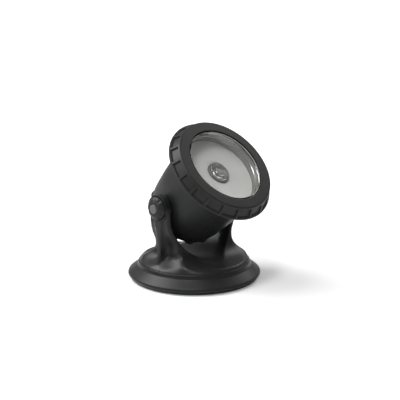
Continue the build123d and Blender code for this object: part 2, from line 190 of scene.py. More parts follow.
def newGroup(name, inputs, outputs):
    group = bpy.data.node_groups.new(name, "ShaderNodeTree")
    for label, kind, value in inputs:
        socket = group.interface.new_socket(name=label, in_out="INPUT", socket_type=kind)
        socket.default_value = value
    for label, kind in outputs:
        group.interface.new_socket(name=label, in_out="OUTPUT", socket_type=kind)
    return group, group.nodes.new("NodeGroupInput"), group.nodes.new("NodeGroupOutput")


def mathNode(nodes, operation, a, b=None, clamp=False):
    node = nodes.nodes.new("ShaderNodeMath")
    node.operation = operation
    node.use_clamp = clamp
    for i, value in enumerate((a, b)):
        if value is None:
            continue
        if isinstance(value, (int, float)):
            node.inputs[i].default_value = value
        else:
            nodes.links.new(value, node.inputs[i])
    return node.outputs[0]


def noiseNode(nodes, vector, scale, detail=2.0, roughness=0.5):
    node = nodes.nodes.new("ShaderNodeTexNoise")
    node.inputs["Detail"].default_value = detail
    node.inputs["Roughness"].default_value = roughness
    nodes.links.new(vector, node.inputs["Vector"])
    if isinstance(scale, (int, float)):
        node.inputs["Scale"].default_value = scale
    else:
        nodes.links.new(scale, node.inputs["Scale"])
    return node.outputs["Fac"]


def buildMouldGrain():
    # fine spark-eroded grain over a coarser one, and a slow mottle
    group, given, out = newGroup(
        "mouldGrain",
        [("Grain scale", "NodeSocketFloat", 2600.0), ("Mottle scale", "NodeSocketFloat", 90.0)],
        [("Height", "NodeSocketFloat"), ("Mottle", "NodeSocketFloat")],
    )
    where = group.nodes.new("ShaderNodeTexCoord").outputs["Object"]
    fine = noiseNode(group, where, given.outputs["Grain scale"], 2.0, 0.6)
    coarseScale = mathNode(group, "MULTIPLY", given.outputs["Grain scale"], 0.22)
    coarse = noiseNode(group, where, coarseScale, 1.0)
    fineShare = mathNode(group, "MULTIPLY", fine, 0.7)
    coarseShare = mathNode(group, "MULTIPLY", coarse, 0.3)
    height = mathNode(group, "ADD", fineShare, coarseShare)
    group.links.new(height, out.inputs["Height"])
    group.links.new(noiseNode(group, where, given.outputs["Mottle scale"], 4.0, 0.6), out.inputs["Mottle"])
    return group


def buildEdgeWear():
    # handling wear: strongest on outer edges, broken up by noise
    group, given, out = newGroup(
        "edgeWear",
        [("Radius", "NodeSocketFloat", 0.0005), ("Break-up scale", "NodeSocketFloat", 500.0)],
        [("Mask", "NodeSocketFloat")],
    )
    where = group.nodes.new("ShaderNodeTexCoord").outputs["Object"]
    bevel = group.nodes.new("ShaderNodeBevel")
    bevel.samples = 4
    group.links.new(given.outputs["Radius"], bevel.inputs["Radius"])
    flat = group.nodes.new("ShaderNodeNewGeometry")
    dot = group.nodes.new("ShaderNodeVectorMath")
    dot.operation = "DOT_PRODUCT"
    group.links.new(bevel.outputs["Normal"], dot.inputs[0])
    group.links.new(flat.outputs["Normal"], dot.inputs[1])
    bend = mathNode(group, "SUBTRACT", 1.0, dot.outputs["Value"])
    bend = mathNode(group, "MULTIPLY", bend, 5.0, clamp=True)
    patch = noiseNode(group, where, given.outputs["Break-up scale"], 3.0, 0.7)
    patch = mathNode(group, "MULTIPLY", mathNode(group, "SUBTRACT", patch, 0.35), 3.0, clamp=True)
    group.links.new(mathNode(group, "MULTIPLY", bend, patch), out.inputs["Mask"])
    return group


def buildSettledDust():
    # a faint film on what faces upwards
    group, given, out = newGroup(
        "settledDust",
        [("Patch scale", "NodeSocketFloat", 120.0)],
        [("Mask", "NodeSocketFloat")],
    )
    place = group.nodes.new("ShaderNodeTexCoord")
    split = group.nodes.new("ShaderNodeSeparateXYZ")
    group.links.new(place.outputs["Normal"], split.inputs[0])
    up = mathNode(group, "MULTIPLY", mathNode(group, "SUBTRACT", split.outputs["Z"], 0.25), 1.3, clamp=True)
    patch = noiseNode(group, place.outputs["Object"], given.outputs["Patch scale"], 5.0, 0.65)
    specks = noiseNode(group, place.outputs["Object"], 3200.0, 1.0)
    specks = mathNode(group, "MULTIPLY", mathNode(group, "SUBTRACT", specks, 0.62), 6.0, clamp=True)
    patchShare = mathNode(group, "MULTIPLY", patch, 0.8)
    speckShare = mathNode(group, "MULTIPLY", specks, 0.5)
    film = mathNode(group, "ADD", patchShare, speckShare)
    group.links.new(mathNode(group, "MULTIPLY", up, film, clamp=True), out.inputs["Mask"])
    return group


def buildBrushedLines():
    # fine tool marks drawn out along local Z, and a slow change of tone
    group, given, out = newGroup(
        "brushedLines",
        [("Line scale", "NodeSocketFloat", 4000.0)],
        [("Height", "NodeSocketFloat"), ("Tone", "NodeSocketFloat")],
    )
    place = group.nodes.new("ShaderNodeTexCoord")
    stretch = group.nodes.new("ShaderNodeMapping")
    stretch.inputs["Scale"].default_value = (1.0, 1.0, 0.06)
    group.links.new(place.outputs["Object"], stretch.inputs["Vector"])
    lines = noiseNode(group, stretch.outputs["Vector"], given.outputs["Line scale"], 3.0, 0.6)
    group.links.new(lines, out.inputs["Height"])
    group.links.new(noiseNode(group, place.outputs["Object"], 300.0, 4.0, 0.6), out.inputs["Tone"])
    return group


mouldGrain = buildMouldGrain()
edgeWear = buildEdgeWear()
settledDust = buildSettledDust()
brushedLines = buildBrushedLines()


# materials


def newMaterial(name):
    material = bpy.data.materials.new(name)
    material.use_nodes = True
    tree = material.node_tree
    return material, tree, tree.nodes["Principled BSDF"]


def placeGroup(tree, group, **values):
    node = tree.nodes.new("ShaderNodeGroup")
    node.node_tree = group
    for label, value in values.items():
        node.inputs[label.replace("_", " ")].default_value = value
    return node


def mixColours(tree, factor, a, b):
    node = tree.nodes.new("ShaderNodeMix")
    node.data_type = "RGBA"
    tree.links.new(factor, node.inputs["Factor"])
    for socket, value in ((node.inputs[6], a), (node.inputs[7], b)):
        if isinstance(value, tuple):
            socket.default_value = (*value, 1.0)
        else:
            tree.links.new(value, socket)
    return node.outputs[2]


def ranged(tree, value, low, high):
    node = tree.nodes.new("ShaderNodeMapRange")
    tree.links.new(value, node.inputs["Value"])
    node.inputs["To Min"].default_value = low
    node.inputs["To Max"].default_value = high
    return node.outputs["Result"]


def mouldedPlastic(name, colour, roughness, grain=2600.0, bump=0.12, wear=0.35, dust=0.25,
                   specular=0.27, mottle=0.18):
    material, tree, shader = newMaterial(name)
    skin = placeGroup(tree, mouldGrain, Grain_scale=grain)
    worn = placeGroup(tree, edgeWear)
    film = placeGroup(tree, settledDust)
    darker = tuple(c * (1 - mottle) for c in colour)
    lighter = tuple(c * (1 + mottle) for c in colour)
    tone = mixColours(tree, skin.outputs["Mottle"], darker, lighter)
    rubbedColour = tuple(min(1.0, c * 2.2 + 0.01) for c in colour)
    wearShare = mathNode(tree, "MULTIPLY", worn.outputs["Mask"], wear)
    rubbed = mixColours(tree, wearShare, tone, rubbedColour)
    dusty = tuple(c * 0.75 + 0.06 for c in colour)
    tone = mixColours(tree, mathNode(tree, "MULTIPLY", film.outputs["Mask"], dust), rubbed, dusty)
    tree.links.new(tone, shader.inputs["Base Color"])
    rough = ranged(tree, skin.outputs["Mottle"], roughness - 0.05, roughness + 0.06)
    rough = mathNode(tree, "ADD", rough, mathNode(tree, "MULTIPLY", film.outputs["Mask"], 0.1 * dust))
    rough = mathNode(tree, "SUBTRACT", rough, mathNode(tree, "MULTIPLY", worn.outputs["Mask"], 0.1 * wear))
    tree.links.new(rough, shader.inputs["Roughness"])
    relief = tree.nodes.new("ShaderNodeBump")
    relief.inputs["Strength"].default_value = bump
    relief.inputs["Distance"].default_value = 0.00005
    tree.links.new(skin.outputs["Height"], relief.inputs["Height"])
    tree.links.new(relief.outputs["Normal"], shader.inputs["Normal"])
    shader.inputs["Specular IOR Level"].default_value = specular
    return material


def workedMetal(name, colour, roughness, lines=4000.0, bump=0.15, stain=0.2):
    material, tree, shader = newMaterial(name)
    marks = placeGroup(tree, brushedLines, Line_scale=lines)
    worn = placeGroup(tree, edgeWear)
    dull = tuple(c * (1 - stain) for c in colour)
    tone = mixColours(tree, marks.outputs["Tone"], dull, colour)
    bright = tuple(min(1.0, c * 1.15) for c in colour)
    tree.links.new(mixColours(tree, worn.outputs["Mask"], tone, bright), shader.inputs["Base Color"])
    rough = ranged(tree, marks.outputs["Tone"], roughness + 0.08, roughness - 0.05)
    tree.links.new(rough, shader.inputs["Roughness"])
    relief = tree.nodes.new("ShaderNodeBump")
    relief.inputs["Strength"].default_value = bump
    relief.inputs["Distance"].default_value = 0.00004
    tree.links.new(marks.outputs["Height"], relief.inputs["Height"])
    tree.links.new(relief.outputs["Normal"], shader.inputs["Normal"])
    shader.inputs["Metallic"].default_value = 1.0
    return material


def clearPlastic(name, tint, roughness):
    # clear moulding that lets lamps shine through to what is behind it
    material, tree, shader = newMaterial(name)
    shader.inputs["Base Color"].default_value = (*tint, 1.0)
    shader.inputs["Transmission Weight"].default_value = 1.0
    shader.inputs["IOR"].default_value = 1.49
    skin = placeGroup(tree, mouldGrain, Grain_scale=700.0, Mottle_scale=60.0)
    rough = ranged(tree, skin.outputs["Mottle"], roughness, roughness + 0.03)
    tree.links.new(rough, shader.inputs["Roughness"])
    passing = tree.nodes.new("ShaderNodeBsdfTransparent")
    passing.inputs["Color"].default_value = (*(0.94 * c for c in tint), 1.0)
    rays = tree.nodes.new("ShaderNodeLightPath")
    blend = tree.nodes.new("ShaderNodeMixShader")
    tree.links.new(rays.outputs["Is Shadow Ray"], blend.inputs[0])
    tree.links.new(shader.outputs[0], blend.inputs[1])
    tree.links.new(passing.outputs[0], blend.inputs[2])
    tree.links.new(blend.outputs[0], tree.nodes["Material Output"].inputs["Surface"])
    return material


charcoal = (0.0125, 0.0128, 0.0132)
finishes = {
    "base_plastic": mouldedPlastic("baseMatt", charcoal, 0.36, bump=0.16, dust=0.35),
    "yoke_plastic": mouldedPlastic("yokeMatt", charcoal, 0.34, bump=0.14, dust=0.3),
    "casing_plastic": mouldedPlastic("casingSatin", charcoal, 0.40, bump=0.12),
    "ring_plastic": mouldedPlastic("ringMatt", (0.020, 0.0198, 0.0195), 0.42, bump=0.2, dust=0.3),
    "knob_plastic": mouldedPlastic("knobSatin", (0.014, 0.0143, 0.0147), 0.36, bump=0.1),
    "cap_plastic": mouldedPlastic("capGrey", (0.12, 0.12, 0.117), 0.42, bump=0.08, wear=0.2, dust=0.1),
    "nut_plastic": mouldedPlastic("nutSatin", (0.013, 0.0133, 0.0137), 0.38, bump=0.1),
    "holder_plastic": mouldedPlastic("holderGrey", (0.15, 0.15, 0.146), 0.35,
                                     bump=0.06, wear=0.1, dust=0.0),
    "plate_plastic": mouldedPlastic("plateWarmGrey", (0.60, 0.592, 0.572), 0.4,
                                    bump=0.06, wear=0.1, dust=0.0, mottle=0.03),
    "rubber": mouldedPlastic("softRubber", (0.012, 0.012, 0.012), 0.75, grain=1500.0, bump=0.3, wear=0.1),
    "emitter_ceramic": mouldedPlastic("emitterResin", (0.20, 0.195, 0.16), 0.25,
                                      bump=0.03, wear=0.0, dust=0.0),
    "board_laminate": mouldedPlastic("greenLaminate", (0.02, 0.13, 0.05), 0.3,
                                     grain=900.0, bump=0.1, dust=0.1),
    "ferrite": mouldedPlastic("darkFerrite", (0.03, 0.03, 0.031), 0.6, grain=1200.0, bump=0.4),
    "chip_plastic": mouldedPlastic("chipBlack", (0.015, 0.015, 0.016), 0.45, bump=0.2),
    "lead_plastic": mouldedPlastic("leadRed", (0.35, 0.02, 0.015), 0.35, bump=0.05),
    "stainless": workedMetal("stainlessTurned", (0.60, 0.60, 0.59), 0.28),
    "brass": workedMetal("brassTurned", (0.72, 0.50, 0.20), 0.3),
    "cast_iron": workedMetal("paintedIron", (0.10, 0.10, 0.10), 0.6, lines=900.0, bump=0.6),
    "aluminium": workedMetal("plainAluminium", (0.78, 0.79, 0.80), 0.35),
    "board_aluminium": mouldedPlastic("boardWhite", (0.72, 0.72, 0.69), 0.35,
                                      bump=0.04, wear=0.1, dust=0.0),
    "capacitor_can": workedMetal("sleevedCan", (0.35, 0.36, 0.40), 0.3),
    "bright_reflector": workedMetal("metallisedWall", (0.42, 0.417, 0.407), 0.12,
                                    lines=700.0, bump=0.12, stain=0.12),
    "clear_lens": clearPlastic("clearLens", (0.985, 0.99, 0.99), 0.0),
}

slotOf = {row["node"]: row["material_slot"] for row in frame["record"]["subparts"]}
for nodeName, thing in frame["nodes"].items():
    for place in thing.material_slots:
        place.material = finishes[slotOf[nodeName]]
print("finishes made:", len(finishes))


def addPiece(name, mesh, body, nodes):
    # one finished piece that stands for CAD nodes and takes the finish of the first
    slotName = slotOf[nodes[0]]
    mesh.materials.clear()
    mesh.materials.append(finishes[slotName])
    piece = looseObject(name, mesh)
    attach(piece, body)
    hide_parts(*nodes)
    print("piece", name, len(mesh.polygons))
    return piece


# base moulding: a closed shell with an undercut skirt, slope, riser and ledge

baseSizes = {
    "top": 11.2, "ledge": 35.6, "slopeTop": 36.4, "slopeTopHeight": 8.5, "rim": 42.5, "rimTop": 4.15,
    "rimLow": 2.9, "skirtTop": 2.3, "skirt": 40.8, "underside": 0.4, "lip": 38.5, "coverSeat": 2.6,
    "innerWall": 37.0, "innerKnee": 36.0, "kneeHeight": 5.6, "roofEdge": 33.4, "roofEdgeHeight": 7.4,
    "roofRadius": 33.0, "roof": 8.6, "postCircle": 31.0, "postRadius": 3.0, "screwHole": 1.25, "posts": 4,
}


def buildBase(sizes):
    line = softened([
        (0, sizes["top"], 0), (sizes["ledge"], sizes["top"], 0.9),
        (sizes["slopeTop"], sizes["slopeTopHeight"], 1.3), (sizes["rim"] - 0.25, sizes["rimTop"], 1.2),
        (sizes["rim"], sizes["rimLow"], 0.5), (sizes["rim"] - 0.6, sizes["skirtTop"], 0.4),
        (sizes["skirt"], sizes["underside"], 0.4), (sizes["lip"], sizes["underside"], 0.25),
        (sizes["lip"], sizes["coverSeat"], 0.1), (sizes["innerWall"], sizes["coverSeat"], 0.3),
        (sizes["innerKnee"], sizes["kneeHeight"], 0.8), (sizes["roofEdge"], sizes["roofEdgeHeight"], 0.8),
        (sizes["roofRadius"], sizes["roof"], 0.5), (0, sizes["roof"], 0),
    ], closed=False)
    shell = turnedMesh("baseShell", line, upright, 192, closed=False)
    posts = []
    postTop = sizes["roof"] + 0.2
    post = softened([
        (sizes["screwHole"], sizes["coverSeat"], 0.2), (sizes["postRadius"], sizes["coverSeat"], 0.3),
        (sizes["postRadius"], postTop, 0), (sizes["screwHole"], postTop, 0),
    ])
    for i in range(sizes["posts"]):
        turn = math.radians(45 + 360 / sizes["posts"] * i)
        spot = Matrix.Translation(Vector((math.cos(turn), math.sin(turn), 0)) * sizes["postCircle"] * mm)
        posts.append(turnedMesh("post", post, spot @ upright, 32))
    return joinedMesh("baseMoulding", [shell, *posts])


addPiece("base_moulding", buildBase(baseSizes), "base", ["base_shell"])


# yoke: the CAD body, with its creases filled into moulded coves

yokeSizes = {
    "voxel": 0.45, "fillRounds": 150, "creaseFill": 0.9, "cornerWear": 0.015, "cornerRounding": 0.3,
    "earRadius": 8.3, "earInner": 27.3, "earOuter": 31.2, "earRim": 0.5, "rimWidth": 0.8, "bore": 3.05,
    "earFrom": 26.0, "floor": 11.2, "footTop": 12.9, "finRoot": 23.5, "finWidth": 4.0, "finLow": 15.5,
    "finKeep": 0.6, "cornerLow": 19.6, "cornerLean": 0.55, "cornerTop": 33.0,
}


def vertexNormals(points, quads):
    a, b, c, d = (points[quads[:, i]] for i in range(4))
    flat = np.cross(c - a, d - b)
    normals = np.zeros_like(points)
    for i in range(4):
        for axis in range(3):
            normals[:, axis] += np.bincount(quads[:, i], flat[:, axis], len(points))
    return normals / np.maximum(np.linalg.norm(normals, axis=1, keepdims=True), 1e-12)


def neighbourMove(points, edges):
    # how far each point is from the middle of its neighbours
    degree = np.maximum(np.bincount(edges.ravel(), minlength=len(points)), 1)
    mean = np.zeros_like(points)
    for axis in range(3):
        mean[:, axis] += np.bincount(edges[:, 0], points[edges[:, 1], axis], len(points))
        mean[:, axis] += np.bincount(edges[:, 1], points[edges[:, 0], axis], len(points))
    return mean / degree[:, None] - points


def buildYoke(sizes):
    raw = frame["nodes"]["yoke"].data.copy()
    bm = bmesh.new()
    bm.from_mesh(raw)
    bmesh.ops.remove_doubles(bm, verts=bm.verts, dist=1e-6)
    bm.to_mesh(raw)
    bm.free()
    block = looseObject("yokeBlock", raw)
    remesh = block.modifiers.new("even", "REMESH")
    remesh.mode = "VOXEL"
    remesh.voxel_size = sizes["voxel"] * mm
    mesh = evaluatedMesh(block, "yokeMoulding")
    points = np.zeros(len(mesh.vertices) * 3)
    mesh.vertices.foreach_get("co", points)
    points = points.reshape(-1, 3) / mm
    edges = np.zeros(len(mesh.edges) * 2, np.int64)
    mesh.edges.foreach_get("vertices", edges)
    edges = edges.reshape(-1, 2)
    quads = np.array([tuple(p.vertices) for p in mesh.polygons if len(p.vertices) == 4])
    across, along, up = np.abs(points[:, 0]), np.abs(points[:, 1]), points[:, 2]
    # the ears, the fins and the foot's rim keep their corners
    height = pivot.z / mm
    earReach = np.hypot(points[:, 1], up - height)
    free = smoothStep(sizes["earRadius"] + 0.5, sizes["earRadius"] + 6, earReach)
    free = np.where(across < sizes["earFrom"], 1.0, free)
    free *= smoothStep(sizes["floor"] + 0.1, sizes["footTop"] + 0.4, up)
    onFin = smoothStep(sizes["finRoot"], sizes["finRoot"] + 1.5, across)
    onFin = onFin * smoothStep(sizes["finLow"], sizes["finLow"] + 3, up)
    onFin *= 1 - smoothStep(sizes["finWidth"], sizes["finWidth"] + 3, along)
    free *= 1 - sizes["finKeep"] * onFin
    # low down, the arms' outer corners are rounded away while the arch keeps its edge
    outer = across - (sizes["cornerLow"] + (up - 20) * sizes["cornerLean"])
    rounded = smoothStep(-1.2, 1.2, outer) * smoothStep(3.0, 5.5, along)
    rounded *= 1 - smoothStep(sizes["cornerTop"] - 8, sizes["cornerTop"], up)
    cornerShare = sizes["cornerWear"] + sizes["cornerRounding"] * rounded
    for i in range(sizes["fillRounds"]):
        if i % 8 == 0:
            normals = vertexNormals(points, quads)
        move = neighbourMove(points, edges)
        outward = np.sum(move * normals, axis=1)
        share = np.where(outward > 0, sizes["creaseFill"], cornerShare) * free
        points += move * share[:, None]
    # even out the voxel steps near the ears and the foot's rim as well
    for i in range(2):
        points += neighbourMove(points, edges) * 0.5
    # the ears are drawn crisply on their own, so the block's own ears stand back inside them
    earReach = np.hypot(points[:, 1], points[:, 2] - height)
    inEar = (earReach < sizes["earRadius"] + 0.1) & (np.abs(points[:, 0]) > sizes["earFrom"])
    side = np.sign(points[:, 0])
    deep = np.clip(np.abs(points[:, 0]), sizes["earInner"] + 0.25, sizes["earOuter"] - 0.3)
    points[:, 0] = np.where(inEar, side * deep, points[:, 0])
    points[:, 2] = np.maximum(points[:, 2], sizes["floor"])
    mesh.vertices.foreach_set("co", (points * mm).ravel())
    mesh.update()
    mesh.shade_smooth()
    rimInner = sizes["earRadius"] - sizes["rimWidth"]
    rimTop = sizes["earOuter"] + sizes["earRim"]
    line = softened([
        (sizes["bore"], sizes["earInner"], 0.2), (sizes["earRadius"], sizes["earInner"], 0.35),
        (sizes["earRadius"], rimTop, 0.3), (rimInner, rimTop, 0.25),
        (rimInner - 0.1, sizes["earOuter"], 0.3), (sizes["bore"], sizes["earOuter"], 0.2),
    ])
    ears = [turnedMesh("ear", line, onPivot[side], 96) for side in (-1, 1)]
    return joinedMesh("yokeMoulding", [mesh, *ears])


addPiece("yoke_moulding", buildYoke(yokeSizes), "base", ["yoke"])


# locking ring: a sloping band of grip pockets between thin ribs

ringSizes = {
    "front": 39.0, "rear": 31.6, "frontRadius": 32.6, "rearRadius": 35.8, "bore": 31.0, "window": 25.1,
    "wall": 1.9, "pockets": 20, "depth": 1.2, "rib": 1.3, "pocketRear": 32.7, "pocketFront": 37.7,
    "soft": 0.3, "lugs": 4, "lugSpan": 22.0, "lugRadius": 29.9, "lugFront": 33.7,
}


def buildRing(sizes):
    pitch = 2 * math.pi / sizes["pockets"]
    halfRib = sizes["rib"] / 2 / sizes["rearRadius"]
    soft = sizes["soft"] / sizes["rearRadius"]
    offsets = [0, halfRib * 0.6, halfRib, halfRib + soft * 0.33, halfRib + soft * 0.66, halfRib + soft]
    offsets += [halfRib + soft * 1.4, pitch * 0.25, pitch * 0.5]
    half = sorted(set(offsets))
    cell = half + [pitch - value for value in reversed(half[1:-1])]
    angles = np.concatenate([[value + pitch * i for value in cell] for i in range(sizes["pockets"])])

    def shape(radii, heights, turns):
        z = heights[0]
        if radii[0] > sizes["bore"] + 0.8:
            away = np.abs((turns + pitch / 2) % pitch - pitch / 2)
            across = smoothStep(halfRib, halfRib + soft, away)
            inside = smoothStep(sizes["pocketRear"], sizes["pocketRear"] + sizes["soft"], z)
            inside *= 1 - smoothStep(sizes["pocketFront"] - sizes["soft"], sizes["pocketFront"], z)
            radii = radii - sizes["depth"] * across * inside
        elif radii[0] > sizes["bore"] - 0.5 and z < sizes["lugFront"] + 0.01:
            span = math.radians(sizes["lugSpan"]) / 2
            lugPitch = 2 * math.pi / sizes["lugs"]
            away = np.abs((turns + lugPitch / 2) % lugPitch - lugPitch / 2)
            radii = radii - (sizes["bore"] - sizes["lugRadius"]) * (away < span)
        return radii, heights

    inside = sizes["front"] - sizes["wall"]
    slope = softened([
        (sizes["window"], sizes["front"], 0.45), (sizes["frontRadius"] - 1.25, sizes["front"], 0.5),
        (sizes["frontRadius"] - 0.38, sizes["front"] - 0.38, 0.5),
        (sizes["frontRadius"], sizes["front"] - 1.2, 0.3),
        (sizes["rearRadius"] - 0.5, sizes["rear"] + 1.1, 0.15),
        (sizes["rearRadius"], sizes["rear"] + 0.75, 0.2), (sizes["rearRadius"], sizes["rear"], 0.25),
        (sizes["bore"], sizes["rear"], 0.1), (sizes["bore"], sizes["lugFront"], 0),
        (sizes["bore"] + 0.02, sizes["lugFront"] + 0.02, 0), (sizes["bore"], inside, 0.2),
        (sizes["window"] + 1.3, inside, 0.3),
    ], steps=5)
    # the sloping band gets rows where its pockets begin and end
    line = []
    for (r, z), (nextR, nextZ) in zip(slope, slope[1:] + slope[:1]):
        line.append((r, z))
        longRun = math.hypot(nextR - r, nextZ - z) > 2.5
        if longRun and r > sizes["bore"] + 1 and nextR > sizes["bore"] + 1 and abs(nextZ - z) > 1:
            stops = [sizes["pocketRear"] + sizes["soft"] * k / 3 for k in range(-1, 5)]
            stops += [sizes["pocketFront"] - sizes["soft"] * k / 3 for k in range(-1, 5)]
            for stop in sorted(stops, reverse=nextZ < z):
                share = (stop - z) / (nextZ - z)
                if 0.02 < share < 0.98:
                    line.append((r + (nextR - r) * share, stop))
    return turnedMesh("lockingRing", line, inHead, angles, shape, sharp=50)


addPiece("locking_ring_moulding", buildRing(ringSizes), "ring", ["locking_ring"])


# side knobs: a shallow fluted dome with a groove round its cap

knobSizes = {
    "face": 31.5, "top": 34.6, "radius": 7.3, "groove": 3.0, "grooveFloor": 34.0, "flutes": 10,
    "flute": 0.55, "studHole": 3.05, "studTop": 33.7,
}


def buildKnob(side, sizes):
    def shape(radii, heights, turns):
        rise = smoothStep(sizes["face"] + 0.7, sizes["face"] + 1.3, heights)
        reach = smoothStep(sizes["radius"] - 3.2, sizes["radius"] - 0.6, radii)
        wave = (0.5 + 0.5 * np.cos(turns * sizes["flutes"])) ** 3
        return radii - sizes["flute"] * wave * rise * reach, heights

    line = softened([
        (0, sizes["grooveFloor"], 0), (sizes["groove"], sizes["grooveFloor"], 0.1),
        (sizes["groove"], sizes["top"], 0.25), (sizes["radius"] - 2.7, sizes["top"], 0.8),
        (sizes["radius"] - 1.2, sizes["face"] + 2.3, 1.0), (sizes["radius"], sizes["face"] + 1.2, 0.7),
        (sizes["radius"], sizes["face"], 0.3), (sizes["studHole"], sizes["face"], 0.1),
        (sizes["studHole"], sizes["studTop"], 0.1), (0, sizes["studTop"], 0),
    ], closed=False, support=0.1)
    return turnedMesh("knob", line, onPivot[side], 120, shape, closed=False)


for side, label in ((-1, "left"), (1, "right")):
    addPiece(f"{label}_knob_moulding", buildKnob(side, knobSizes), f"{label}_knob", [f"{label}_knob"])


# rear cap: a lobed grip with the cord gland's neck

capSizes = {
    "front": -13.3, "rear": -15.9, "lobes": 12, "lobeStart": 9.0, "lobeRadius": 4.2, "reach": 23.9,
    "waist": 22.4, "land": 17.0, "step": 0.6, "neck": 5.6, "neckRear": -22.4, "hole": 3.5, "seat": 4.4,
    "seatDeep": 2.6, "spigot": 19.6, "spigotBore": 17.2, "flange": 18.5, "flangeRear": -8.7,
    "flangeFront": -5.1, "groove": 18.5, "grooveRear": 1.4, "grooveFront": 2.6,
}


def buildRearCap(sizes):
    pitch = 2 * math.pi / sizes["lobes"]
    centre = sizes["reach"] - sizes["lobeRadius"]
    step = sizes["rear"] + sizes["step"]
    floor = sizes["front"] + 0.4
    grooveRear = sizes["front"] + sizes["grooveRear"]
    grooveFront = sizes["front"] + sizes["grooveFront"]
    seatTop = sizes["neckRear"] + sizes["seatDeep"]

    def shape(radii, heights, turns):
        # pushes the rim out into round lobes and lifts their faces level with the land
        if radii[0] > sizes["land"] + 0.5 and heights[0] < sizes["front"] + 0.1:
            away = np.abs((turns - math.radians(sizes["lobeStart"]) + pitch / 2) % pitch - pitch / 2)
            half = np.sqrt(np.clip(sizes["lobeRadius"] ** 2 - (centre * np.sin(away)) ** 2, 0, None))
            over = centre * np.cos(away) + half - sizes["waist"]
            swell = 0.5 * (over + np.sqrt(over ** 2 + 0.1))
            radii = radii + swell * smoothStep(sizes["land"] + 2.5, sizes["waist"], radii)
            inLobe = np.hypot(radii * np.cos(away) - centre, radii * np.sin(away)) - sizes["lobeRadius"]
            lift = sizes["step"] * (1 - smoothStep(-0.9, 0.1, inLobe))
            heights = heights - lift * (1 - smoothStep(step, sizes["front"] - 0.6, heights))
        return radii, heights

    line = softened([
        (sizes["spigotBore"], sizes["flangeFront"], 0.1), (sizes["flange"], sizes["flangeFront"], 0.3),
        (sizes["flange"], sizes["flangeRear"], 0.1), (sizes["spigot"], sizes["flangeRear"], 0.2),
        (sizes["spigot"], grooveFront, 0.1), (sizes["groove"], grooveFront, 0.1),
        (sizes["groove"], grooveRear, 0.1), (sizes["spigot"], grooveRear, 0.1),
        (sizes["spigot"], sizes["front"], 0.05), (sizes["waist"], sizes["front"], 0.4),
        (sizes["waist"], step, 0.5), *((sizes["waist"] - k, step, 0) for k in range(1, 5)),
        (sizes["land"] + 0.6, step, 0.3), (sizes["land"], sizes["rear"], 0.35),
        (sizes["neck"] + 1.4, sizes["rear"], 0.2), (sizes["neck"], sizes["rear"] - 0.6, 0.6),
        (sizes["neck"], sizes["neckRear"], 0.2), (sizes["seat"], sizes["neckRear"], 0.1),
        (sizes["seat"], seatTop, 0.1), (sizes["hole"], seatTop, 0.1),
        (sizes["hole"], floor, 0.1), (sizes["spigotBore"], floor, 0.3),
    ])
    return turnedMesh("rearCap", line, inHead, 360, shape, sharp=50)


addPiece("rear_cap_moulding", buildRearCap(capSizes), "rear_cap", ["rear_cap"])


# lamp interior: stepped bright wall, pale plate and the clear optic

lampSizes = {
    "bore": 25.9, "seat": 26.0, "front": 33.9, "flange": 27.0, "lip": 34.4, "lipInner": 25.6,
    "mouth": 25.2, "upperWall": 25.05, "bead": 31.3, "beadRadius": 24.78, "beadLow": 24.74,
    "underBead": 24.9, "lowerWall": 24.62, "wallFoot": 24.6, "footInner": 22.0,
    "plateFront": 27.8, "plateRadius": 24.5, "plateHole": 7.4, "plateThickness": 1.0, "plateStep": 0.25,
}


def buildReflector(sizes):
    low = sizes["plateFront"] - sizes["plateThickness"]
    line = softened([
        (sizes["bore"], sizes["seat"], 0.1), (sizes["bore"], sizes["front"], 0.05),
        (sizes["flange"], sizes["front"], 0.1), (sizes["flange"], sizes["lip"], 0.12),
        (sizes["lipInner"], sizes["lip"], 0.2), (sizes["mouth"], sizes["front"] - 0.1, 0.2),
        (sizes["upperWall"], sizes["bead"] + 0.2, 0.12), (sizes["beadRadius"], sizes["bead"], 0.1),
        (sizes["beadLow"], sizes["bead"] - 0.35, 0.1), (sizes["underBead"], sizes["bead"] - 0.6, 0.15),
        (sizes["lowerWall"], sizes["plateFront"], 0.1), (sizes["wallFoot"], low, 0.05),
        (sizes["footInner"], low, 0.1), (sizes["footInner"], sizes["seat"], 0.1),
    ], support=0.06)
    return turnedMesh("reflectorWall", line, inHead, 160)


def buildPlate(sizes):
    low = sizes["plateFront"] - sizes["plateThickness"]
    rebate = sizes["plateFront"] - sizes["plateStep"]
    line = softened([
        (sizes["plateHole"], low, 0.1), (sizes["plateRadius"], low, 0.1),
        (sizes["plateRadius"], sizes["plateFront"], 0.12),
        (sizes["plateHole"] + 0.9, sizes["plateFront"], 0.2), (sizes["plateHole"] + 0.6, rebate, 0.15),
        (sizes["plateHole"], rebate, 0.1),
    ], support=0.1)
    return turnedMesh("facePlate", line, inHead, 128)


addPiece("reflector_wall", buildReflector(lampSizes), "head", ["reflector"])
addPiece("face_plate_disc", buildPlate(lampSizes), "head", ["face_plate"])

opticSizes = {
    "radius": 6.0, "rim": 28.45, "edge": 29.1, "top": 30.4, "rows": 45, "dishRadius": 3.9, "dish": 0.55,
    "cell": 1.15, "bead": 0.22, "coneTop": 3.4, "coneLow": 27.15, "well": 2.2, "wellTop": 28.0,
}


